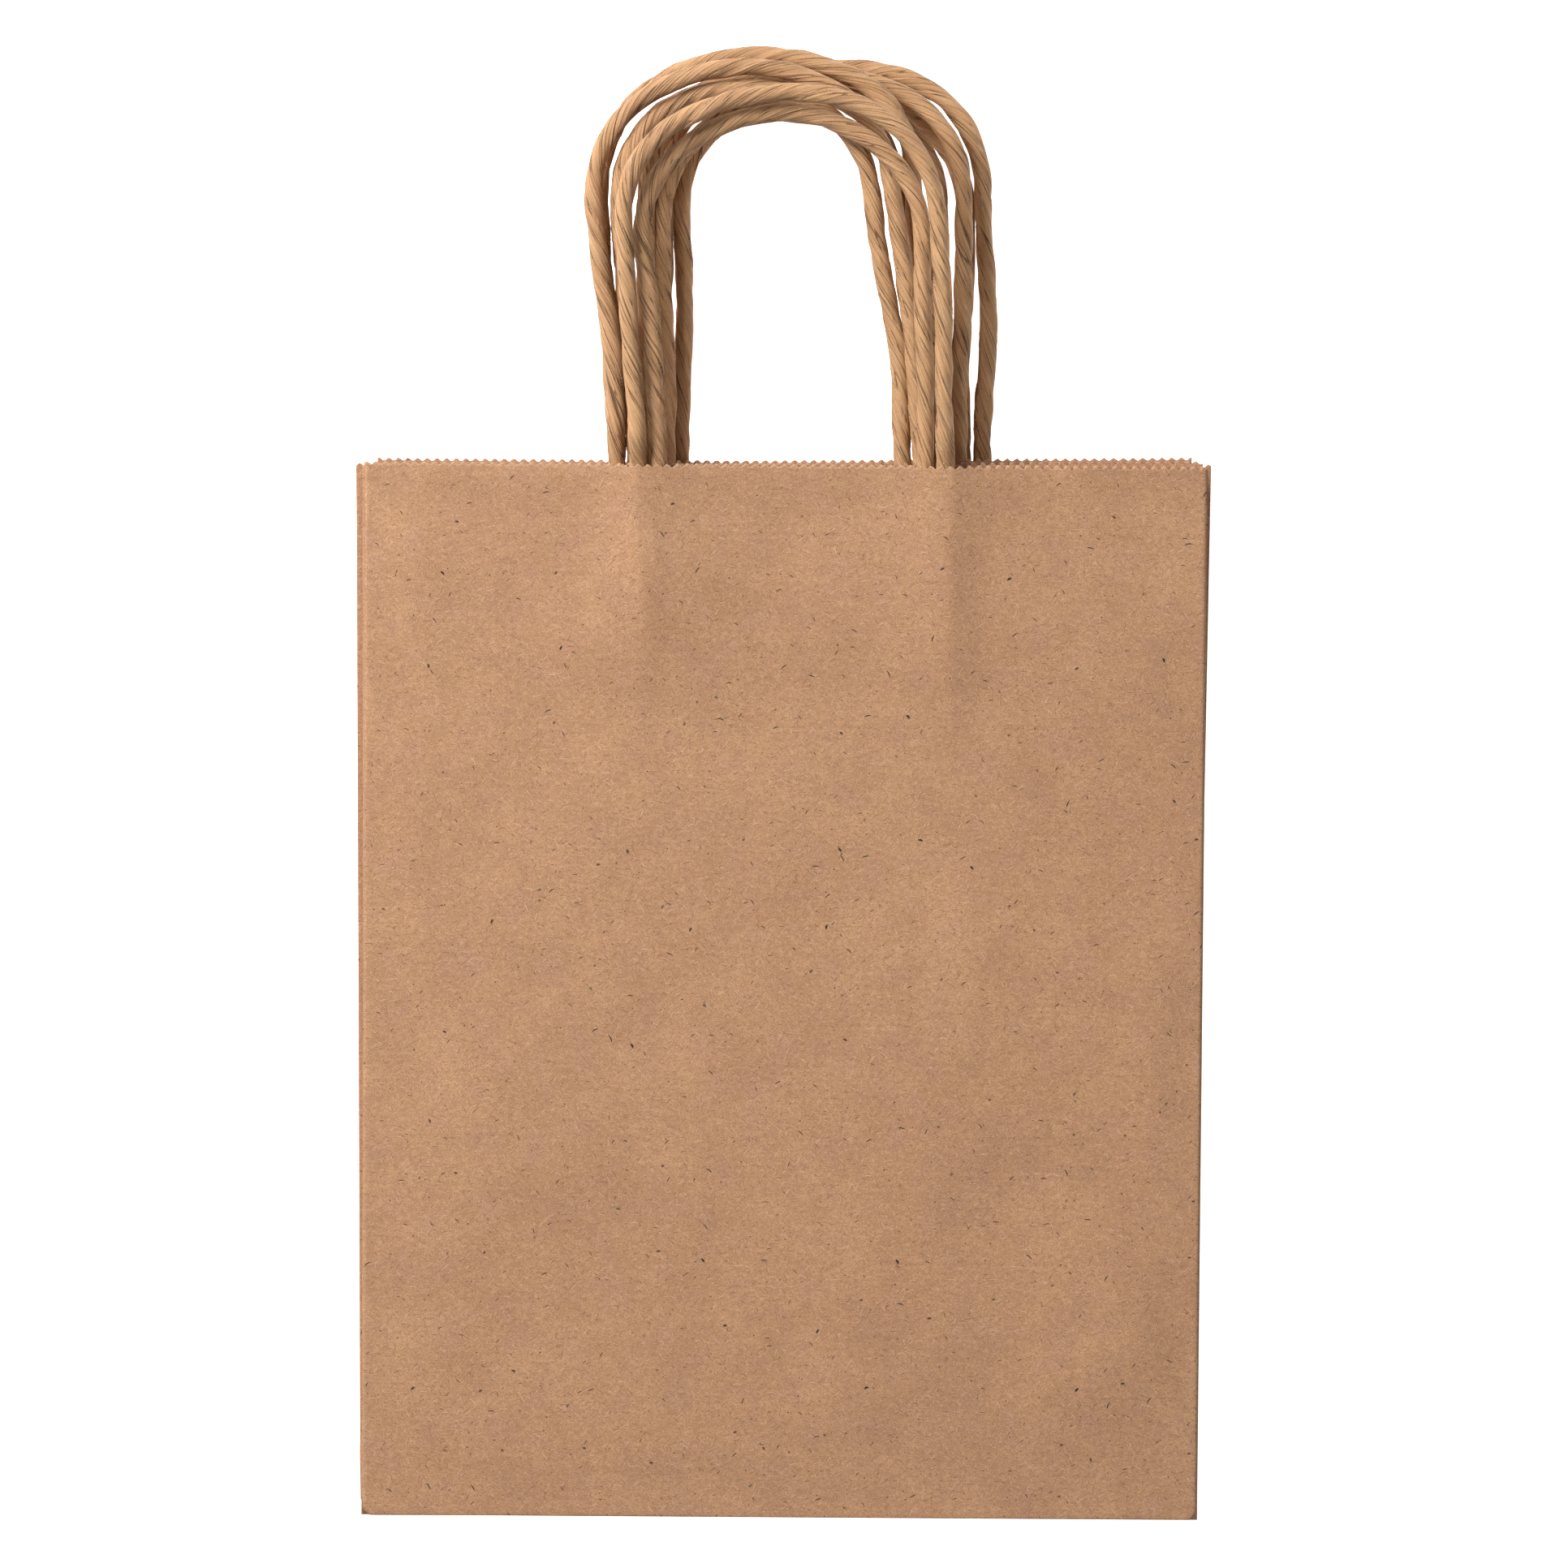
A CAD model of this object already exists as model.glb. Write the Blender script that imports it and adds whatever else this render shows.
import math

import bpy
import numpy as np
from mathutils import Matrix, Vector


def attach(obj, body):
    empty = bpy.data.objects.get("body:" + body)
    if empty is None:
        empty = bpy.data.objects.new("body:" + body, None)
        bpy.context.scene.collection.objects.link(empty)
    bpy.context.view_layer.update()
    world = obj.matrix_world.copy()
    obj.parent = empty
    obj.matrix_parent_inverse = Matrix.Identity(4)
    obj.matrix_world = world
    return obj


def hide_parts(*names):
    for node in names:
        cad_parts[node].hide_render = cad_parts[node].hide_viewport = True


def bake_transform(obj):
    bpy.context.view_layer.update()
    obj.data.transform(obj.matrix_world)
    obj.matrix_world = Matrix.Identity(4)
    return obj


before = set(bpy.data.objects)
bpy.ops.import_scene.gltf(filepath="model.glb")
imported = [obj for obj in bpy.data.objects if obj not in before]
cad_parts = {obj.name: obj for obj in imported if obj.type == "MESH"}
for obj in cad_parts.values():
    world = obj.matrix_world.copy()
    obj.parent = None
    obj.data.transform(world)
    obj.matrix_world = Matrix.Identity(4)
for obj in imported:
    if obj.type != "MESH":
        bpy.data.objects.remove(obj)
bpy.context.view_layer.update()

# ---------------------------------------------------------------- the part's own dimensions, in metres
MM = 0.001
BAG_W = 203 * MM
BAG_H = 256 * MM
BAG_D = 102 * MM
PAPER = 0.2 * MM
CLEAR = 0.05 * MM
PITCH = PAPER + CLEAR
HALF_W = BAG_W / 2
CREASE_Y = -BAG_D / 2
MOUTH_Y = BAG_H - BAG_D / 2
INNER_X = HALF_W - BAG_D / 2
CORD_D = 4.3 * MM
CORD_R = CORD_D / 2
FRONT_SPAN, BACK_SPAN = 74 * MM, 64.4 * MM
FRONT_RISE, BACK_RISE = 90 * MM, 84.5 * MM
END_LEN, END_T, END_W = 40 * MM, 1.5 * MM, 5.4 * MM
PATCH_H = 42 * MM
PATCH_HALF = INNER_X - 1 * MM
KNUCKLE = 6 * MM
PROUD = 3.9 * MM
SHOULDER_R = 27 * MM
SHOULDER_TURN = math.radians(62)
BAG_GAP = 0.15 * MM
PLAY = 0.3 * MM
BAG_COUNT = 5
MOUTH_SKEW = {2: 0.38, 5: 0.58}      # degrees: how far from square a bag's mouth is cut
MOUTH_TRIM = {3: 2.4 * MM}           # how much lower than the others a bag's mouth is cut
PILE_LAY = [(0, 0, 0), (0, 0.2, 0.23), (-1, 0.9, 0.46), (-0.3, 1, 0.75), (-0.5, 0.9, -0.7)]
HANDLE_LAY = [(1.4, 0, 0, 1.5, 3.5), (-3.2, 0, 5.5, -1, 5.8), (1.2, 5, 8.1, -1, 5), (7, 2, 5, 0.5, -0.5),
              (6.5, 4.4, 6.5, 0.3, 0.3)]

FRONT_LEVEL = 5 * PITCH
BACK_FACE = 2 * PITCH + PAPER
STACK = END_T + CLEAR + PAPER
PATCH_TOP = BACK_FACE + CLEAR + STACK
PATCH_LOW_Y = MOUTH_Y - 2 * MM - PATCH_H
LEAN = math.atan((PATCH_TOP + 2 * CLEAR + PLAY + STACK - FRONT_LEVEL) / (PATCH_LOW_Y - CREASE_Y))
BAG_STEP = FRONT_LEVEL + PAPER + BAG_GAP + math.tan(LEAN) * BAG_D / 2
MOST_LIFT = max(lay[2] for lay in HANDLE_LAY) * MM      # of the handle that reaches furthest out of the pile
PILE_MID_Y = (CREASE_Y + MOUTH_Y + FRONT_RISE + MOST_LIFT + CORD_R) / 2


def front_z(y):
    """Height of the front panel's inner face in a bag's own frame."""
    return FRONT_LEVEL + math.tan(LEAN) * (y - CREASE_Y)


CORD_Z = (BACK_FACE + front_z(MOUTH_Y)) / 2


def bag_matrix(n):
    """From bag n's own frame to the row's."""
    dx, dy, turn = PILE_LAY[n - 1]
    return (Matrix.Translation((dx * MM, dy * MM - PILE_MID_Y, (BAG_COUNT - n) * BAG_STEP))
            @ Matrix.Rotation(LEAN * (BAG_COUNT - n), 4, "X") @ Matrix.Rotation(math.radians(turn), 4, "Z"))


def body_of_bag(n):
    return "bag_%d" % n


# ---------------------------------------------------------------- smooth, seeded variation
class Ripple:
    """A smooth field made of a few seeded sine waves, about -1 to 1."""

    def __init__(self, seed, wavelength, count=7):
        rng = np.random.default_rng(seed)
        angle = rng.uniform(0, 2 * math.pi, count)
        number = 2 * math.pi / (wavelength * rng.uniform(0.7, 1.5, count))
        self.kx, self.ky = number * np.cos(angle), number * np.sin(angle)
        self.phase = rng.uniform(0, 2 * math.pi, count)
        self.scale = 1 / math.sqrt(count)

    def __call__(self, x, y=0.0):
        x, y = np.asarray(x, float), np.asarray(y, float)
        waves = zip(self.kx, self.ky, self.phase)
        return self.scale * sum(np.sin(kx * x + ky * y + p) for kx, ky, p in waves)


def smooth(t):
    t = np.clip(t, 0, 1)
    return t * t * (3 - 2 * t)


# ---------------------------------------------------------------- mesh helpers
def new_mesh(name, points, faces, material, attributes):
    mesh = bpy.data.meshes.new(name)
    points = np.asarray(points, float).reshape(-1, 3)
    mesh.from_pydata([tuple(p) for p in points], [], [tuple(f) for f in faces])
    mesh.validate()
    for key, values in attributes.items():
        layer = mesh.attributes.new(key, "FLOAT_VECTOR", "POINT")
        layer.data.foreach_set("vector", np.asarray(values, np.float32).reshape(-1))
    mesh.polygons.foreach_set("use_smooth", np.full(len(mesh.polygons), True))
    mesh.materials.append(material)
    mesh.update()
    obj = bpy.data.objects.new(name, mesh)
    bpy.context.scene.collection.objects.link(obj)
    return obj


def grid_faces(rows, columns, first, flip=False, wrap=False):
    """Quads of a rows by columns grid of vertices, starting at vertex first."""
    r, c = np.meshgrid(np.arange(rows - 1), np.arange(columns if wrap else columns - 1), indexing="ij")
    r, c = r.ravel(), c.ravel()
    nxt = (c + 1) % columns
    a, b = first + r * columns + c, first + r * columns + nxt
    d, e = first + (r + 1) * columns + c, first + (r + 1) * columns + nxt
    quads = np.stack([a, b, e, d], axis=1)
    return quads[:, ::-1] if flip else quads


SIDE_WEAR = 0.45      # how worn a sheet's side edges are, where its mouth is 1


def paper_mesh(name, middle, flat, material, matrix, wrap=False):
    """A sheet of paper with its real thickness.

    middle is a rows x columns x 3 array of points on the sheet's middle surface, and flat holds the same
    points on the unfolded sheet, which the material reads. With wrap the last column joins the first.
    """
    rows, columns = middle.shape[:2]
    if wrap:
        along = np.roll(middle, -1, axis=1) - np.roll(middle, 1, axis=1)
    else:
        along = np.gradient(middle, axis=1)
    up = np.gradient(middle, axis=0)
    normal = np.cross(along, up)
    normal /= np.maximum(np.linalg.norm(normal, axis=2, keepdims=True), 1e-12)
    top, bottom = middle + normal * PAPER / 2, middle - normal * PAPER / 2
    points = np.concatenate([top.reshape(-1, 3), bottom.reshape(-1, 3)])
    count = rows * columns
    faces = [grid_faces(rows, columns, 0, wrap=wrap), grid_faces(rows, columns, count, flip=True, wrap=wrap)]
    rims = []
    ring = np.arange(columns if wrap else columns - 1)
    nxt = (ring + 1) % columns
    rims.append(np.stack([ring, ring + count, nxt + count, nxt], axis=1))
    last = (rows - 1) * columns
    rims.append(np.stack([last + ring, last + nxt, last + nxt + count, last + ring + count], axis=1))
    if not wrap:
        side = np.arange(rows - 1) * columns
        rims.append(np.stack([side, side + columns, side + columns + count, side + count], axis=1))
        side = side + columns - 1
        rims.append(np.stack([side, side + count, side + columns + count, side + columns], axis=1))
    faces = np.concatenate(faces + rims)
    both = np.concatenate([flat.reshape(-1, 3)] * 2)
    wear = np.zeros((rows, columns, 3))
    wear[-1] = 1
    if not wrap:
        wear[:, [0, -1]] = np.maximum(wear[:, [0, -1]], SIDE_WEAR)
    worn = np.concatenate([wear.reshape(-1, 3)] * 2)
    obj = new_mesh(name, points, faces, material, {"flat": both, "wear": worn})
    obj.data.transform(matrix)
    return obj


TOOTH_PITCH = 2.35 * MM
TOOTH_HEIGHT = 0.85 * MM
TOOTH_SHIFT = 0.4 * MM        # where the front bag's teeth begin
TOOTH_STEP = TOOTH_PITCH / 4  # how finely a pinked edge is drawn


def teeth(along):
    """How far a pinked edge stands out or in, at a distance along it."""
    wave = np.cos(2 * math.pi * np.asarray(along) / TOOTH_PITCH)
    return 0.5 * TOOTH_HEIGHT * np.sign(wave) * np.abs(wave) ** 0.8


# ---------------------------------------------------------------- materials
TONE = 0.76      # colours are scaled by this, because they come out lighter under this light


def srgb(r, g, b):
    """A colour given as it looks under this light, as the linear colour that a shader wants."""
    return tuple(TONE * ((c / 255 + 0.055) / 1.055) ** 2.4 for c in (r, g, b)) + (1,)


class Nodes:
    """Short calls for building a node tree."""

    def __init__(self, name):
        self.material = bpy.data.materials.new(name)
        self.material.use_nodes = True
        self.tree = self.material.node_tree
        self.tree.nodes.clear()
        self.out = self.tree.nodes.new("ShaderNodeOutputMaterial")
        self.shader = self.tree.nodes.new("ShaderNodeBsdfPrincipled")
        self.tree.links.new(self.shader.outputs[0], self.out.inputs[0])

    def put(self, socket, value):
        if isinstance(value, bpy.types.NodeSocket):
            self.tree.links.new(value, socket)
        elif value is not None:
            socket.default_value = value

    def attribute(self, name):
        node = self.tree.nodes.new("ShaderNodeAttribute")
        node.attribute_name = name
        return node.outputs["Vector"]

    def math(self, operation, a, b=None):
        node = self.tree.nodes.new("ShaderNodeMath")
        node.operation = operation
        for socket, value in zip(node.inputs, (a, b)):
            self.put(socket, value)
        return node.outputs[0]

    def vector(self, operation, a, b=None, scale=None):
        node = self.tree.nodes.new("ShaderNodeVectorMath")
        node.operation = operation
        self.put(node.inputs[0], a)
        if b is not None:
            self.put(node.inputs[1], b)
        if scale is not None:
            self.put(node.inputs["Scale"], scale)
        return node.outputs["Vector"]

    def split(self, vector):
        node = self.tree.nodes.new("ShaderNodeSeparateXYZ")
        self.put(node.inputs[0], vector)
        return node.outputs

    def join(self, x, y, z):
        node = self.tree.nodes.new("ShaderNodeCombineXYZ")
        for socket, value in zip(node.inputs, (x, y, z)):
            self.put(socket, value)
        return node.outputs[0]

    def noise(self, vector, scale, detail=2.0, roughness=0.5, distortion=0.0):
        node = self.tree.nodes.new("ShaderNodeTexNoise")
        self.put(node.inputs["Vector"], vector)
        node.inputs["Scale"].default_value = scale
        node.inputs["Detail"].default_value = detail
        node.inputs["Roughness"].default_value = roughness
        node.inputs["Distortion"].default_value = distortion
        return node.outputs["Fac"]

    def cells(self, vector, scale):
        node = self.tree.nodes.new("ShaderNodeTexVoronoi")
        self.put(node.inputs["Vector"], vector)
        node.inputs["Scale"].default_value = scale
        return node.outputs

    def remap(self, value, low, high, to_low=0.0, to_high=1.0):
        node = self.tree.nodes.new("ShaderNodeMapRange")
        node.interpolation_type = "SMOOTHSTEP"
        self.put(node.inputs["Value"], value)
        for key, number in (("From Min", low), ("From Max", high), ("To Min", to_low), ("To Max", to_high)):
            node.inputs[key].default_value = number
        return node.outputs["Result"]

    def mix(self, factor, a, b):
        node = self.tree.nodes.new("ShaderNodeMix")
        node.data_type = "RGBA"
        sockets = [s for s in node.inputs if s.type == "RGBA"]
        self.put(node.inputs[0], factor)
        self.put(sockets[0], a)
        self.put(sockets[1], b)
        return [s for s in node.outputs if s.type == "RGBA"][0]

    def tint(self, colour, amount, strength, other):
        """colour turned towards another one, by strength where amount is 1."""
        return self.mix(self.math("MULTIPLY", amount, strength), colour, other)

    def bump(self, height, distance, strength):
        node = self.tree.nodes.new("ShaderNodeBump")
        node.inputs["Strength"].default_value = strength
        node.inputs["Distance"].default_value = distance
        self.put(node.inputs["Height"], height)
        return node.outputs[0]

    def flecks(self, where, scale, length, width, share, seed):
        """Scattered thin marks: up to 1 on a mark and 0 elsewhere. Lengths are in cells of the pattern."""
        shifted = self.vector("ADD", where, (seed * 0.371, seed * 0.173, 0.0))
        cell = self.cells(shifted, scale)
        offset = self.vector("SCALE", self.vector("SUBTRACT", shifted, cell["Position"]), scale=scale)
        random = self.split(cell["Color"])
        turn = self.math("MULTIPLY", self.math("SUBTRACT", random[0], 0.5), 2.5)
        cosine, sine = self.math("COSINE", turn), self.math("SINE", turn)
        x, y, _ = self.split(offset)
        u = self.math("ADD", self.math("MULTIPLY", x, cosine), self.math("MULTIPLY", y, sine))
        v = self.math("SUBTRACT", self.math("MULTIPLY", y, cosine), self.math("MULTIPLY", x, sine))
        bow = self.math("MULTIPLY", self.math("SUBTRACT", random[2], 0.5), 1.4 / length * 0.3)
        bent = self.math("ADD", v, self.math("MULTIPLY", self.math("MULTIPLY", u, u), bow))
        size = self.math("ADD", self.math("MULTIPLY", random[2], 0.8), 0.3)
        far_along = self.math("POWER", self.math("DIVIDE", u, self.math("MULTIPLY", size, length)), 2.0)
        far_across = self.math("POWER", self.math("DIVIDE", bent, width), 2.0)
        far = self.math("ADD", far_along, far_across)
        mark = self.remap(far, 1.3, 0.4)
        chosen = self.math("LESS_THAN", random[1], share)
        fade = self.math("ADD", self.math("MULTIPLY", random[2], 0.6), 0.4)
        return self.math("MULTIPLY", mark, self.math("MULTIPLY", chosen, fade))


def kraft_material(name, base, seed):
    """Uncoated kraft paper: cloudy mottling, fine grain, fibres and flecks, placed on the flat sheet."""
    n = Nodes(name)
    flat = n.vector("ADD", n.attribute("flat"), (seed * 0.913, seed * 0.617, seed * 0.29))
    drift = n.join(n.noise(flat, 90), n.noise(flat, 70), 0.0)
    warped = n.vector("ADD", flat, n.vector("SCALE", drift, scale=0.004))
    cloud = n.noise(warped, 30, 3.0, 0.55)
    blotch = n.noise(warped, 95, 3.0, 0.6)
    blush = n.noise(flat, 130, 3.0, 0.6, 0.5)
    grain = n.noise(n.vector("MULTIPLY", flat, (0.8, 1.0, 1.0)), 3600, 2.0, 0.7)
    felt = n.noise(n.vector("MULTIPLY", flat, (0.75, 1.0, 1.0)), 1050, 4.0, 0.7, 1.0)
    colour = n.tint(base, n.remap(cloud, 0.36, 0.66), 0.3, srgb(180, 134, 102))
    colour = n.tint(colour, n.remap(blotch, 0.42, 0.66), 0.36, srgb(182, 138, 103))
    colour = n.tint(colour, n.remap(blotch, 0.3, 0.5, 1.0, 0.0), 0.2, srgb(212, 166, 130))
    colour = n.tint(colour, n.remap(blush, 0.44, 0.68), 0.35, srgb(190, 143, 120))
    colour = n.tint(colour, n.remap(grain, 0.28, 0.5, 1.0, 0.0), 0.65, srgb(146, 103, 74))
    colour = n.tint(colour, n.remap(grain, 0.52, 0.74), 0.6, srgb(232, 194, 160))
    colour = n.tint(colour, n.remap(felt, 0.38, 0.6, 1.0, 0.0), 0.38, srgb(156, 112, 82))
    colour = n.tint(colour, n.remap(felt, 0.56, 0.76), 0.28, srgb(224, 184, 150))
    marks = ((520, 0.42, 0.028, 0.62, 0.8, (104, 70, 48)), (430, 0.4, 0.026, 0.58, 0.8, (104, 70, 48)),
             (390, 0.42, 0.026, 0.46, 0.65, (236, 202, 170)), (150, 0.1, 0.017, 0.6, 1.0, (66, 44, 32)),
             (210, 0.04, 0.036, 0.42, 0.95, (70, 46, 34)), (90, 0.085, 0.014, 0.5, 1.0, (66, 54, 46)),
             (62, 0.038, 0.018, 0.55, 1.0, (54, 40, 33)), (40, 0.022, 0.012, 0.36, 0.85, (86, 82, 74)))
    for index, (scale, length, width, share, strength, tint) in enumerate(marks):
        mark = n.flecks(flat, scale, length, width, share, seed + index + 1)
        colour = n.tint(colour, mark, strength, srgb(*tint))
    rim = n.math("POWER", n.split(n.attribute("wear"))[0], 4.0)
    colour = n.tint(colour, rim, 0.45, srgb(236, 202, 170))
    n.put(n.shader.inputs["Base Color"], colour)
    n.put(n.shader.inputs["Roughness"], n.remap(grain, 0.2, 0.8, 0.72, 0.9))
    n.shader.inputs["Specular IOR Level"].default_value = 0.28
    height = n.math("ADD", n.math("MULTIPLY", grain, 0.55), n.math("MULTIPLY", felt, 0.9))
    n.put(n.shader.inputs["Normal"], n.bump(height, 0.00008, 0.6))
    return n.material


def cord_material(name, base, seed):
    """Twisted kraft paper: long creases and streaks that wind round the cord with its twist."""
    n = Nodes(name)
    round_x, round_y, along = n.split(n.attribute("strand"))

    def wound(stretch, shift):
        """The cord's surface with its length shrunk by stretch, so that patterns run along the strands."""
        return n.vector("ADD", n.join(round_x, round_y, n.math("MULTIPLY", along, stretch)),
                        (seed * 0.71 + shift, seed * 0.37, seed * 0.13))

    def crease(scale, stretch, width, shift, low, high):
        """Thin long lines where a smooth field crosses its middle, broken up by a second one."""
        ridge = n.math("ABSOLUTE", n.math("SUBTRACT", n.noise(wound(stretch, shift), scale, 1.0, 0.5), 0.5))
        shown = n.remap(n.noise(wound(stretch * 2.2, shift + 3), scale * 0.75, 1.0), low, high)
        return n.math("MULTIPLY", n.remap(ridge, 0.0, width, 1.0, 0.0), shown)

    streak = n.noise(wound(0.05, 0), 2400, 3.0, 0.62)
    broad = n.noise(wound(0.07, 1), 640, 2.0, 0.5)
    grain = n.noise(wound(0.6, 2), 3000, 3.0, 0.65)
    cloud = n.noise(wound(1.0, 4), 85, 3.0, 0.55)
    deep = crease(430, 0.035, 0.012, 5, 0.42, 0.52)
    fine = crease(1150, 0.035, 0.026, 7, 0.36, 0.48)
    lip = crease(560, 0.05, 0.014, 9, 0.5, 0.58)
    colour = n.tint(base, n.remap(cloud, 0.36, 0.66), 0.5, srgb(182, 136, 97))
    colour = n.tint(colour, n.remap(broad, 0.46, 0.68), 0.4, srgb(214, 168, 125))
    colour = n.tint(colour, n.remap(broad, 0.34, 0.5, 1.0, 0.0), 0.3, srgb(170, 124, 86))
    colour = n.tint(colour, n.remap(streak, 0.3, 0.5, 1.0, 0.0), 0.42, srgb(152, 110, 76))
    colour = n.tint(colour, n.remap(streak, 0.54, 0.76), 0.36, srgb(224, 182, 140))
    colour = n.tint(colour, n.remap(grain, 0.34, 0.5, 1.0, 0.0), 0.28, srgb(150, 108, 76))
    colour = n.tint(colour, n.remap(grain, 0.56, 0.72), 0.22, srgb(226, 184, 142))
    colour = n.tint(colour, fine, 0.85, srgb(104, 69, 43))
    colour = n.tint(colour, lip, 0.75, srgb(236, 198, 158))
    colour = n.tint(colour, deep, 0.75, srgb(92, 60, 37))
    n.put(n.shader.inputs["Base Color"], colour)
    n.put(n.shader.inputs["Roughness"], n.remap(streak, 0.2, 0.8, 0.62, 0.85))
    n.shader.inputs["Specular IOR Level"].default_value = 0.3
    height = n.math("ADD", n.math("MULTIPLY", streak, 0.7), n.math("MULTIPLY", broad, 2.2))
    height = n.math("SUBTRACT", height, n.math("MULTIPLY", deep, 1.1))
    height = n.math("SUBTRACT", height, n.math("MULTIPLY", fine, 0.5))
    raised = n.math("ADD", n.math("MULTIPLY", lip, 0.5), n.math("MULTIPLY", grain, 0.2))
    height = n.math("ADD", height, raised)
    n.put(n.shader.inputs["Normal"], n.bump(height, 0.00034, 0.9))
    return n.material


KRAFT_BASE = srgb(203, 156, 115)
UNDER_BASE = srgb(193, 146, 110)      # the bags under the front one
CORD_BASE = srgb(212, 165, 118)
kraft = {1: kraft_material("kraft_1", KRAFT_BASE, 1.7)}
for bag in range(2, BAG_COUNT + 1):
    kraft[bag] = kraft_material("kraft_%d" % bag, UNDER_BASE, bag * 1.7)
cords = {bag: cord_material("cord_%d" % bag, CORD_BASE, bag * 2.3) for bag in range(1, BAG_COUNT + 1)}

# ---------------------------------------------------------------- camera, looking straight down
CAMERA_DISTANCE = 2.2
CAMERA_Y = 0.4 * MM
CAMERA_TURN = math.radians(0.38)
VIEW_WIDTH = 0.3787        # how much the frame takes in at the height VIEW_LEVEL
VIEW_LEVEL = 25 * MM
SENSOR = 36                # in mm, as Blender has it
camera_data = bpy.data.cameras.new("camera")
camera_data.sensor_width = SENSOR
camera_data.lens = SENSOR * (CAMERA_DISTANCE - VIEW_LEVEL) / VIEW_WIDTH
camera_data.clip_end = 200
camera = bpy.data.objects.new("camera", camera_data)
bpy.context.scene.collection.objects.link(camera)
camera.location = (0.0, CAMERA_Y, CAMERA_DISTANCE)
camera.rotation_euler = (0, 0, CAMERA_TURN)
bpy.context.scene.camera = camera


# ---------------------------------------------------------------- twisted cords
def foot_x(n, span, side):
    """Where a handle's left (side -1) or right (side 1) leg stands in the mouth of bag n."""
    shift, spread = HANDLE_LAY[n - 1][:2]
    return shift * MM + side * (span + spread * MM) / 2


def loop_line(n, span, rise):
    """The centreline of a handle's loop on bag n, from its left leg to its right one, in the loop's plane."""
    shift, spread, lift, lean, skew = HANDLE_LAY[n - 1]
    half, rise = (span + spread * MM) / 2, rise + lift * MM - KNUCKLE
    turned = SHOULDER_TURN - math.radians(lean)
    leans = {side: math.radians(lean - side * skew) for side in (-1, 1)}
    crown = (1 - math.sin(turned)) / (2 * math.cos(turned))

    def shoulder_out(side, top):
        a = leans[side]
        return (half + SHOULDER_R * (math.cos(turned) - math.cos(a))
                + (top - SHOULDER_R * (math.sin(a) + math.sin(turned))) * math.tan(a))

    low = shoulder_out(-1, 0) + shoulder_out(1, 0)
    top = (rise - crown * low) / (1 + crown * (math.tan(leans[-1]) + math.tan(leans[1])))
    sides = {}
    for side, a in leans.items():
        leg = (top - SHOULDER_R * (math.sin(a) + math.sin(turned))) / math.cos(a)
        knee = np.array([half + leg * math.sin(a), leg * math.cos(a)])
        centre = knee - SHOULDER_R * np.array([math.cos(a), -math.sin(a)])
        points = [np.array([half, 0.0]) * (1 - t) + knee * t for t in np.linspace(0.2, 1, 12)]
        points += [centre + SHOULDER_R * np.array([math.cos(b), math.sin(b)])
                   for b in np.linspace(-a, turned, 16)[1:]]
        sides[side] = np.array(points) * (side, 1)
    left, right = sides[-1][-1][0], sides[1][-1][0]
    radius = (right - left) / (2 * math.cos(turned))
    centre = np.array([(right + left) / 2, top - radius * math.sin(turned)])
    arch = [centre + radius * np.array([math.cos(b), math.sin(b)])
            for b in np.linspace(math.pi - turned, turned, 30)[1:-1]]
    whole = np.concatenate([[(-half, -KNUCKLE), (-half, -KNUCKLE / 2)], sides[-1], arch, sides[1][::-1],
                            [(half, -KNUCKLE / 2), (half, -KNUCKLE)]])
    return whole + (shift * MM, MOUTH_Y + KNUCKLE)


def evenly(points, step):
    """The same line with points step apart, and smoothed a little so that it has no corners."""
    points = np.asarray(points, float)
    for _ in range(2):
        away = np.concatenate([[0], np.cumsum(np.linalg.norm(np.diff(points, axis=0), axis=1))])
        count = max(8, int(round(away[-1] / step)) + 1)
        at = np.linspace(0, away[-1], count)
        points = np.stack([np.interp(at, away, points[:, k]) for k in range(points.shape[1])], axis=1)
    reach = 7
    padded = np.concatenate([[points[0]] * reach, points, [points[-1]] * reach])
    weights = np.hanning(2 * reach + 3)[1:-1]
    weights /= weights.sum()
    columns = [np.convolve(padded[:, k], weights, mode="valid") for k in range(points.shape[1])]
    rounded = np.stack(columns, axis=1)
    rounded[0], rounded[-1] = points[0], points[-1]
    return rounded


TWIST_PITCH = 33 * MM
CORD_SIDES = 48
MOUTH_LIFT = 1.0 * MM      # how far the front bag's cords stand up into the swell of its front panel
FRONT_SHIFT = 1.0 * MM     # how much higher than CORD_Z a front cord lies
BACK_SHIFT = -0.85 * MM    # how much lower a back cord lies
SETTLE = 8 * MM            # over this length below the mouth a glued end turns into a round cord
LOOSE = 30 * MM            # over this length from the mouth a cord comes to wander freely
MOUTH_REACH = 25 * MM      # the length of cord at each end whose height is set by the mouth


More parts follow.
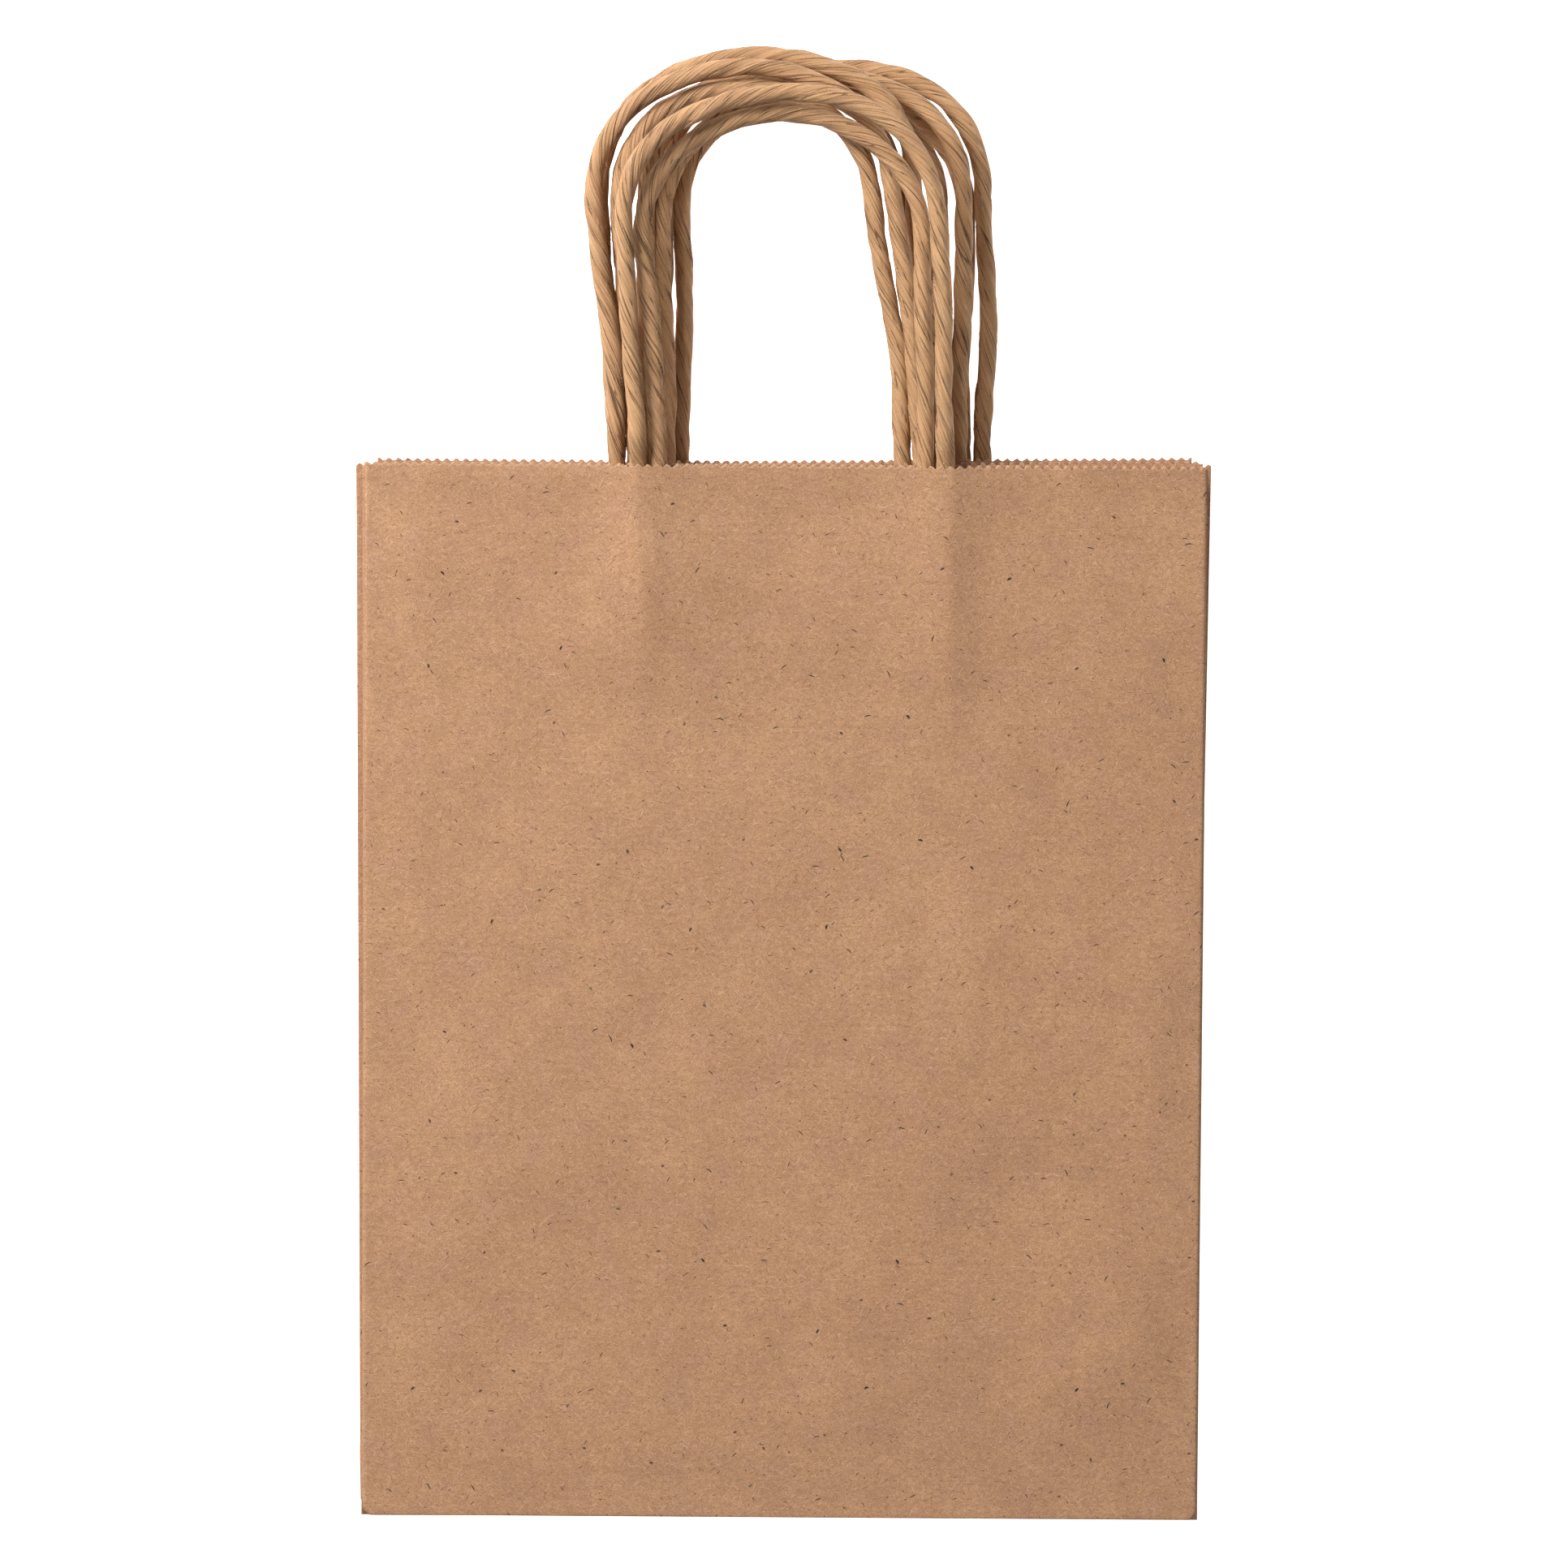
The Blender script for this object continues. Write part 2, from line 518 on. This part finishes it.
def cord_mesh(name, line, half_width, half_thick, material, matrix, seed):
    """A twisted paper cord along line, with its broad folds modelled, in a bag's own frame.

    half_width and half_thick are the section's half sizes at each point: across the bag and out of it.
    """
    rng = np.random.default_rng(seed)
    tangent = np.gradient(line, axis=0)
    tangent /= np.linalg.norm(tangent, axis=1, keepdims=True)
    up = np.array([0.0, 0.0, 1.0])
    side = np.cross(tangent, up)
    side /= np.linalg.norm(side, axis=1, keepdims=True)
    out = np.cross(side, tangent)
    away = np.concatenate([[0], np.cumsum(np.linalg.norm(np.diff(line, axis=0), axis=1))])
    angle = np.linspace(0, 2 * math.pi, CORD_SIDES, endpoint=False)
    pitch_change = 0.5 * Ripple(seed + 11, 90 * MM)(away)
    wound = angle[None, :] + 2 * math.pi * away[:, None] / TWIST_PITCH + pitch_change[:, None]
    swell = 1 + 0.035 * Ripple(seed + 5, 34 * MM)(away)[:, None]
    shape = np.zeros_like(wound)
    for lobes, depth in ((2, 0.05), (3, 0.032), (5, 0.02)):
        depth = depth * (1 + 0.6 * Ripple(seed + lobes, 26 * MM)(away))[:, None]
        shape += depth * np.cos(lobes * wound + rng.uniform(0, 2 * math.pi))
    for _ in range(6):
        at = rng.uniform(0, 2 * math.pi) + 0.45 * Ripple(int(rng.integers(1, 9999)), 34 * MM)(away)[:, None]
        gap = np.angle(np.exp(1j * (wound - at)))
        depth = 0.15 * smooth(0.35 + 0.9 * Ripple(int(rng.integers(1, 9999)), 22 * MM)(away))[:, None]
        shape += depth * np.where(gap > 0, 0.45 * np.exp(-gap / 0.5), -np.exp(gap / 0.16))
    round_share = (half_thick / CORD_R)[:, None]
    radius = (1 + shape * np.clip(round_share, 0.2, 1)) * swell
    x = np.sin(angle)[None, :] * radius * half_width[:, None]
    z = np.cos(angle)[None, :] * radius * half_thick[:, None]
    points = line[:, None, :] + side[:, None, :] * x[:, :, None] + out[:, None, :] * z[:, :, None]
    along = np.repeat(away[:, None], CORD_SIDES, axis=1)
    strand = np.stack([CORD_R * np.cos(wound), CORD_R * np.sin(wound), along], axis=2)
    rows = len(line)
    faces = [tuple(f) for f in grid_faces(rows, CORD_SIDES, 0, wrap=True)]
    caps = [points[0].mean(axis=0), points[-1].mean(axis=0)]
    total = rows * CORD_SIDES
    for k in range(CORD_SIDES):
        nxt = (k + 1) % CORD_SIDES
        faces.append((total, nxt, k))
        faces.append((total + 1, total - CORD_SIDES + k, total - CORD_SIDES + nxt))
    points = np.concatenate([points.reshape(-1, 3), caps])
    strand = np.concatenate([strand.reshape(-1, 3), [strand[0, 0], strand[-1, 0]]])
    obj = new_mesh(name, points, faces, material, {"strand": strand})
    obj.data.transform(matrix)
    return obj


def end_level(front, y):
    """Height of the middle of a pressed cord end."""
    if front:
        return front_z(y) - CLEAR - END_T / 2
    return BACK_FACE + CLEAR + END_T / 2


def make_handle(n, front):
    """One handle of bag n: its cord from glued end to glued end."""
    span, rise = (FRONT_SPAN, FRONT_RISE) if front else (BACK_SPAN, BACK_RISE)
    which = "front" if front else "back"
    seed = 100 * n + (7 if front else 40)
    plane = loop_line(n, span, rise)
    depth = CORD_Z + (FRONT_SHIFT if front else BACK_SHIFT)
    if n == 1 and front:
        depth = CORD_Z + PROUD
    line = evenly(np.column_stack([plane, np.full(len(plane), depth)]), 0.9 * MM)
    away = np.concatenate([[0], np.cumsum(np.linalg.norm(np.diff(line, axis=0), axis=1))])
    free = smooth(np.minimum(away, away[-1] - away) / LOOSE)
    tangent = np.gradient(line, axis=0)
    tangent /= np.linalg.norm(tangent, axis=1, keepdims=True)
    side = np.cross(tangent, (0, 0, 1))
    line = line + side * (free * 0.75 * MM * Ripple(seed, 60 * MM)(away))[:, None]
    line[:, 2] += free * 0.3 * MM * Ripple(seed + 1, 50 * MM)(away)
    at_mouth = min(depth, front_z(MOUTH_Y) - CORD_R - 0.1 * MM + (MOUTH_LIFT if n == 1 else 0))
    climb = smooth((line[:, 1] - MOUTH_Y) / (9 * MM))
    near = (away < MOUTH_REACH) | (away > away[-1] - MOUTH_REACH)
    line[near, 2] += ((at_mouth - depth) * (1 - climb))[near]
    ends = []
    for first in (0, -1):
        foot = line[first]
        y = np.arange(MOUTH_Y - END_LEN, MOUTH_Y - 0.2 * MM, 1.2 * MM)
        level = np.array([end_level(front, v) for v in y])
        settle = smooth((y - (MOUTH_Y - SETTLE)) / SETTLE)
        ends.append(np.column_stack([np.full(len(y), foot[0]), y, level * (1 - settle) + foot[2] * settle]))
    line = np.concatenate([ends[0], line, ends[1][::-1]])
    y_of = line[:, 1]
    inside = 1 - smooth((y_of - (MOUTH_Y - SETTLE)) / SETTLE)
    half_width = CORD_R + (END_W / 2 - CORD_R) * inside
    half_thick = CORD_R + (END_T / 2 - CORD_R) * inside
    matrix = bag_matrix(n)
    name = "bag_%d_cord_%s" % (n, which)
    obj = cord_mesh(name, line, half_width, half_thick, cords[n], matrix, seed)
    if n > 1:
        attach(obj, body_of_bag(n))
        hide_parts("bag_%d_handle_%s" % (n, which))
    else:
        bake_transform(obj)
        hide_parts("front_bag_handle_" + which, "front_bag_cord_ends_" + which)


for bag in range(1, BAG_COUNT + 1):
    for is_front in (True, False):
        make_handle(bag, is_front)


# ---------------------------------------------------------------- patches that hold the cord ends
def make_patch(n, front):
    """The patch glued over both ends of a handle, raised over each of them."""
    span = FRONT_SPAN if front else BACK_SPAN
    which = "front" if front else "back"
    feet = [foot_x(n, span, side) for side in (-1, 1)]
    x = np.linspace(-PATCH_HALF, PATCH_HALF, 150)
    y = np.linspace(PATCH_LOW_Y, PATCH_LOW_Y + PATCH_H, 36)
    grid_x, grid_y = np.meshgrid(x, y)
    rise = np.zeros_like(grid_x)
    for at in feet:
        rise = np.maximum(rise, smooth((END_W / 2 + 1.4 * MM - np.abs(grid_x - at)) / (1.2 * MM)))
    rise *= smooth((grid_y - (MOUTH_Y - END_LEN - 1.6 * MM)) / (1.6 * MM))
    ripple = Ripple(900 + n, 18 * MM)(grid_x, grid_y)
    up = (END_T + CLEAR) * rise + PAPER / 2 + 0.015 * MM * (1 + ripple)
    if front:
        z = front_z(grid_y) - CLEAR - up
    else:
        z = BACK_FACE + CLEAR + up
    middle = np.stack([grid_x, grid_y, z], axis=2)
    flat = np.stack([grid_x + 0.4, grid_y + 0.7, np.zeros_like(grid_x)], axis=2)
    obj = paper_mesh("bag_%d_patch_%s_paper" % (n, which), middle, flat, kraft[n], bag_matrix(n))
    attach(obj, body_of_bag(n) if n > 1 else "front_bag_" + which)
    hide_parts(("bag_%d" % n if n > 1 else "front_bag") + "_patch_" + which)


for bag in range(1, BAG_COUNT + 1):
    for is_front in (True, False):
        make_patch(bag, is_front)


# ---------------------------------------------------------------- the front bag's sheets
def spaced(low, high, step, dense=()):
    """Numbers from low to high about step apart, closer together at each (place, reach, step) in dense."""
    out = [low]
    while out[-1] < high:
        size = step
        for place, reach, finer in dense:
            if abs(out[-1] - place) < reach:
                size = min(size, finer)
        out.append(out[-1] + size)
    out[-1] = high
    return np.array(out)


def round_corners(x, y):
    """x pulled in near the bottom, so that the two bottom corners are a little rounded."""
    near = np.clip(1 - (y - CREASE_Y) / (2.4 * MM), 0, 1)
    return x * (1 - near ** 2 * 1.7 * MM / HALF_W)


def edge_roll(distance, radius, drop):
    """How far a sheet bends down at a rounded fold: distance is how far in from the edge a point is."""
    t = np.clip(1 - distance / radius, 0, 1)
    return drop * (1 - np.sqrt(np.maximum(1 - t * t, 0)))


front_waves = Ripple(21, 62 * MM, 9)
front_waves_small = Ripple(22, 27 * MM, 9)


def ridge(x, top, crest, height, left, right, sharp, faded):
    """A soft crest down from the mouth, which falls away over left and right and fades out below."""
    side = np.where(x < crest, (crest - x) / left, (x - crest) / right)
    return height * np.exp(-np.sqrt(side ** 2 + 0.02)) * (1 - smooth((top - sharp) / (faded - sharp)))


def front_panel_lift(x, y):
    """How far the front panel stands off its flat shape: soft waves, and ridges over the cord ends."""
    room = smooth((y - CREASE_Y) / (30 * MM)) * smooth((HALF_W - np.abs(x)) / (16 * MM))
    lift = 0.5 * MM * (1 + front_waves(x, y)) * room + 0.14 * MM * (1 + front_waves_small(x, y)) * room
    left, right = [foot_x(1, FRONT_SPAN, side) for side in (-1, 1)]
    top = MOUTH_Y - y
    lean = 1.6 * MM * smooth((top - 10 * MM) / (20 * MM))
    lift = lift + ridge(x, top, left + lean, 5.2 * MM, 10 * MM, 26 * MM, 24 * MM, 66 * MM)
    lift = lift + ridge(x, top, right + 1 * MM, 4.4 * MM, 21 * MM, 13 * MM, 30 * MM, 86 * MM)
    kink = np.exp(-((x - left - 4.5 * MM - 0.35 * (top - 20 * MM)) / (1.1 * MM)) ** 2
                  - ((top - 19 * MM) / (5 * MM)) ** 2)
    curl = np.exp(-((x - 71 * MM) / (9 * MM)) ** 2) * (1 - smooth(top / (26 * MM)))
    return lift + 0.5 * MM * kink + 0.7 * MM * curl + 0.6 * MM * (1 - smooth(top / (11 * MM)))


def front_panel():
    """The front bag's front panel, with its waves, ridges and pinked mouth."""
    x = np.linspace(-HALF_W, HALF_W, int(round(BAG_W / TOOTH_STEP)) + 1)
    y = spaced(CREASE_Y, MOUTH_Y, 2.4 * MM, ((CREASE_Y, 2.0 * MM, 0.25 * MM), (MOUTH_Y, 6 * MM, 0.8 * MM)))
    grid_x, grid_y = np.meshgrid(x, y)
    z = front_z(grid_y) + PAPER / 2 + front_panel_lift(grid_x, grid_y)
    z -= edge_roll(HALF_W - np.abs(grid_x), 0.9 * MM, 0.22 * MM)
    z -= edge_roll(grid_y - CREASE_Y, 0.9 * MM, 0.15 * MM)
    grid_y[-1] += teeth(x + TOOTH_SHIFT)
    grid_y[-2] += 0.25 * teeth(x + TOOTH_SHIFT)
    grid_x = round_corners(grid_x, grid_y)
    middle = np.stack([grid_x, grid_y, z], axis=2)
    flat = np.stack([np.meshgrid(x, y)[0], grid_y, np.zeros_like(z)], axis=2)
    obj = paper_mesh("front_panel", middle, flat, kraft[1], bag_matrix(1))
    return obj, "front_bag_front", "front_bag_front_panel"


def plain_panel(name, low_y, high_y, level, seed, pinked=False):
    """A sheet of the front bag right across it, nearly flat, and perhaps with a pinked mouth."""
    x = np.linspace(-HALF_W, HALF_W, int(round(BAG_W / TOOTH_STEP)) + 1)
    top = (high_y, 6 * MM, 0.8 * MM) if pinked else (high_y, 1.0 * MM, 0.25 * MM)
    dense = [(low_y, 1.0 * MM, 0.25 * MM), top]
    y = spaced(low_y, high_y, 5 * MM, dense)
    grid_x, grid_y = np.meshgrid(x, y)
    z = np.full_like(grid_x, level + PAPER / 2) + 0.012 * MM * Ripple(seed, 40 * MM)(grid_x, grid_y)
    if pinked:
        grid_y[-1] += teeth(x + TOOTH_SHIFT)
    middle = np.stack([round_corners(grid_x, grid_y), grid_y, z], axis=2)
    flat = np.stack([grid_x + 0.3 * seed, grid_y, np.zeros_like(z)], axis=2)
    obj = paper_mesh(name, middle, flat, kraft[1], bag_matrix(1))
    return obj


def gusset_half(side, front):
    """One half of a side gusset, lying folded in between the panels."""
    inner = INNER_X - 0.4 * MM        # a little past the creases, so that no light shows through them
    outer = HALF_W + 0.25 * MM
    x = np.linspace(inner, outer, int(round((outer - inner) / TOOTH_STEP)) + 1)
    y = spaced(CREASE_Y, MOUTH_Y, 5 * MM, ((MOUTH_Y, 6 * MM, 0.8 * MM),))
    grid_x, grid_y = np.meshgrid(x, y)
    if front:
        z = front_z(grid_y) - PITCH + PAPER / 2
    else:
        z = np.full_like(grid_x, 3 * PITCH + PAPER / 2)
    grid_y[-1] += teeth(side * x + TOOTH_SHIFT)
    if side < 0:
        grid_x, grid_y, z = -grid_x[:, ::-1], grid_y[:, ::-1], z[:, ::-1]
    middle = np.stack([grid_x, grid_y, z], axis=2)
    flat = np.stack([grid_x + (0.5 if front else 0.9), grid_y, np.zeros_like(z)], axis=2)
    hand, face = ("left", "right")[side > 0], ("back", "front")[front]
    name = "gusset_%s_%s_paper" % (hand, face)
    obj = paper_mesh(name, middle, flat, kraft[1], bag_matrix(1))
    return obj, "gusset_%s_%s" % (hand, face), "front_bag_gusset_%s_%s" % (hand, face)


sheets = [front_panel()]
sheets.append((plain_panel("back_panel", 0, MOUTH_Y, 2 * PITCH, 31, pinked=True), "front_bag_back",
               "front_bag_back_panel"))
sheets.append((plain_panel("back_strip", 0, -CREASE_Y, PITCH, 32), "front_bag_back_strip",
               "front_bag_back_strip"))
sheets.append((plain_panel("base_panel", CREASE_Y, -CREASE_Y, 0, 33), "front_bag_base",
               "front_bag_base_panel"))
for hand in (-1, 1):
    for is_front in (True, False):
        sheets.append(gusset_half(hand, is_front))
for obj, body, node in sheets:
    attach(obj, body)
    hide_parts(node)


# ---------------------------------------------------------------- the folded bags under the front one
def levels(y):
    """Heights of a folded bag's sheets at y: front panel, front and back gusset halves, and back panel.

    Above the folded base the back panel comes down to the bag's underside.
    """
    ztop = front_z(y) + PAPER / 2
    zgf = front_z(y) - PITCH + PAPER / 2
    zgb = 3 * PITCH + PAPER / 2
    sag = -CREASE_Y + 2 * MM
    zback = 2 * PITCH + PAPER / 2
    if y > sag:
        zback *= (MOUTH_Y - y) / (MOUTH_Y - sag)
        zback += PAPER / 2 * (y - sag) / (MOUTH_Y - sag)
    return ztop, zgf, zgb, zback


FOLD_INSET = 0.16 * MM      # how far inside the bag's outline its folds begin
CUT_REACH = 40 * MM         # the length below a mouth that takes up its skew and trim


def run(x, height, u):
    """A level stretch of a folded bag's section: arrays of x, z and the place u round the unfolded sheet."""
    return x, np.full(len(x), height), u


def bend(x, low, high, outward, u):
    """A crease of the section, as half an ellipse from height low to high."""
    fold = np.linspace(0, math.pi, 5)[1:-1]
    mid, half_h = (low + high) / 2, (high - low) / 2
    reach = min(abs(half_h), 0.9 * MM)
    return x + outward * np.sin(fold) * reach, mid - np.cos(fold) * half_h, np.full(len(fold), u)


def section(y):
    """Right round a folded bag at y, from the left edge of its back panel: arrays of x, z and u."""
    ztop, zgf, zgb, zback = levels(y)
    wide = np.linspace(-HALF_W, HALF_W, int(round(BAG_W / TOOTH_STEP)) + 1)
    half = np.linspace(INNER_X, HALF_W, int(round((HALF_W - INNER_X) / TOOTH_STEP)) + 1)
    edge = HALF_W - FOLD_INSET
    scale = edge / HALF_W
    right_u, left_u = HALF_W + BAG_D, HALF_W * 3 + BAG_D      # where the front panel begins and ends
    stretches = [
        run(wide * scale, zback, wide),
        bend(edge, zback, zgb, 1, HALF_W),
        run(half[::-1] * scale, zgb, HALF_W + (HALF_W - half[::-1])),
        bend(INNER_X * scale, zgb, zgf, -1, HALF_W + BAG_D / 2),
        run(half * scale, zgf, HALF_W + BAG_D / 2 + half - INNER_X),
        bend(edge, zgf, ztop, 1, right_u),
        run(wide[::-1] * scale, ztop, right_u + HALF_W - wide[::-1]),
        bend(-edge, ztop, zgf, -1, left_u),
        run(-half[::-1] * scale, zgf, left_u + HALF_W - half[::-1]),
        bend(-INNER_X * scale, zgf, zgb, 1, HALF_W * 3 + BAG_D * 1.5),
        run(-half * scale, zgb, HALF_W * 3 + BAG_D * 1.5 + half - INNER_X),
        bend(-edge, zgb, zback, -1, HALF_W * 3 + BAG_D * 2),
    ]
    x, z, u = [np.concatenate(part) for part in zip(*stretches)]
    roll = edge_roll(y - CREASE_Y, 0.8 * MM, 0.3 * MM)
    top = (z - zgf) / max(ztop - zgf, 1e-6)
    return x, z - roll * np.clip(top, 0, 1), u


def folded_bag(n):
    """Bag n as one sheet: its back panel, gusset halves and front panel, all the way round."""
    y = spaced(CREASE_Y, MOUTH_Y, 11 * MM, ((MOUTH_Y, 5 * MM, 1.2 * MM), (-CREASE_Y, 6 * MM, 3 * MM),
                                           (CREASE_Y, 1.0 * MM, 0.3 * MM)))
    rows, flats = [], []
    for row_y in y:
        x, z, u = section(row_y)
        rows.append(np.column_stack([round_corners(x, row_y), np.full(len(x), row_y), z]))
        flats.append(np.column_stack([u, np.full(len(x), row_y), np.zeros(len(x))]))
    middle, flat = np.array(rows), np.array(flats)
    tooth = teeth(middle[-1, :, 0] + n * 0.5 * MM)      # all the layers of a bag are cut together
    middle[-1, :, 1] += tooth
    middle[-2, :, 1] += 0.25 * tooth
    skew = math.tan(math.radians(MOUTH_SKEW.get(n, 0)))
    near_mouth = smooth((middle[:, :, 1] - (MOUTH_Y - CUT_REACH)) / CUT_REACH)
    middle[:, :, 1] += (skew * middle[:, :, 0] - MOUTH_TRIM.get(n, 0)) * near_mouth
    obj = paper_mesh("bag_%d_paper" % n, middle, flat, kraft[n], bag_matrix(n), wrap=True)
    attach(obj, body_of_bag(n))
    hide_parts("bag_%d_body" % n)


for bag in range(2, BAG_COUNT + 1):
    folded_bag(bag)

# ---------------------------------------------------------------- floor and light
REACH = 60.0               # in metres, past everything that a camera sees
FLOOR_Z = -0.2 * MM
floor_mesh = bpy.data.meshes.new("floor")
floor_corners = [(-REACH, -REACH, 0), (REACH, -REACH, 0), (REACH, REACH, 0), (-REACH, REACH, 0)]
floor_mesh.from_pydata(floor_corners, [], [(0, 1, 2, 3)])
floor = bpy.data.objects.new("floor", floor_mesh)
bpy.context.scene.collection.objects.link(floor)
floor.location.z = FLOOR_Z
floor_nodes = Nodes("floor")
floor_nodes.shader.inputs["Base Color"].default_value = (0.93, 0.93, 0.93, 1)
floor_nodes.shader.inputs["Roughness"].default_value = 0.9
floor_nodes.shader.inputs["Emission Color"].default_value = (1, 1, 1, 1)
floor_nodes.shader.inputs["Emission Strength"].default_value = 1.0
floor_nodes.shader.inputs["Specular IOR Level"].default_value = 0.0
floor_mesh.materials.append(floor_nodes.material)

world = bpy.data.worlds.new("world")
bpy.context.scene.world = world
world.use_nodes = True
world.node_tree.nodes["Background"].inputs[0].default_value = (1.0, 1.0, 1.0, 1)
world.node_tree.nodes["Background"].inputs[1].default_value = 0.3


def area_light(name, place, size, power):
    """A round lamp that points at the middle of the pile."""
    data = bpy.data.lights.new(name, "AREA")
    data.shape = "DISK"
    data.size = size
    data.energy = power
    light = bpy.data.objects.new(name, data)
    bpy.context.scene.collection.objects.link(light)
    light.location = place
    light.rotation_euler = (-Vector(place)).to_track_quat("-Z", "Y").to_euler()


area_light("key", (-0.8, 0.72, 1.0), 0.8, 33)
area_light("fill", (1.2, -0.6, 1.7), 1.6, 5)
bpy.context.scene.view_settings.view_transform = "Standard"
bpy.context.scene.view_settings.look = "None"
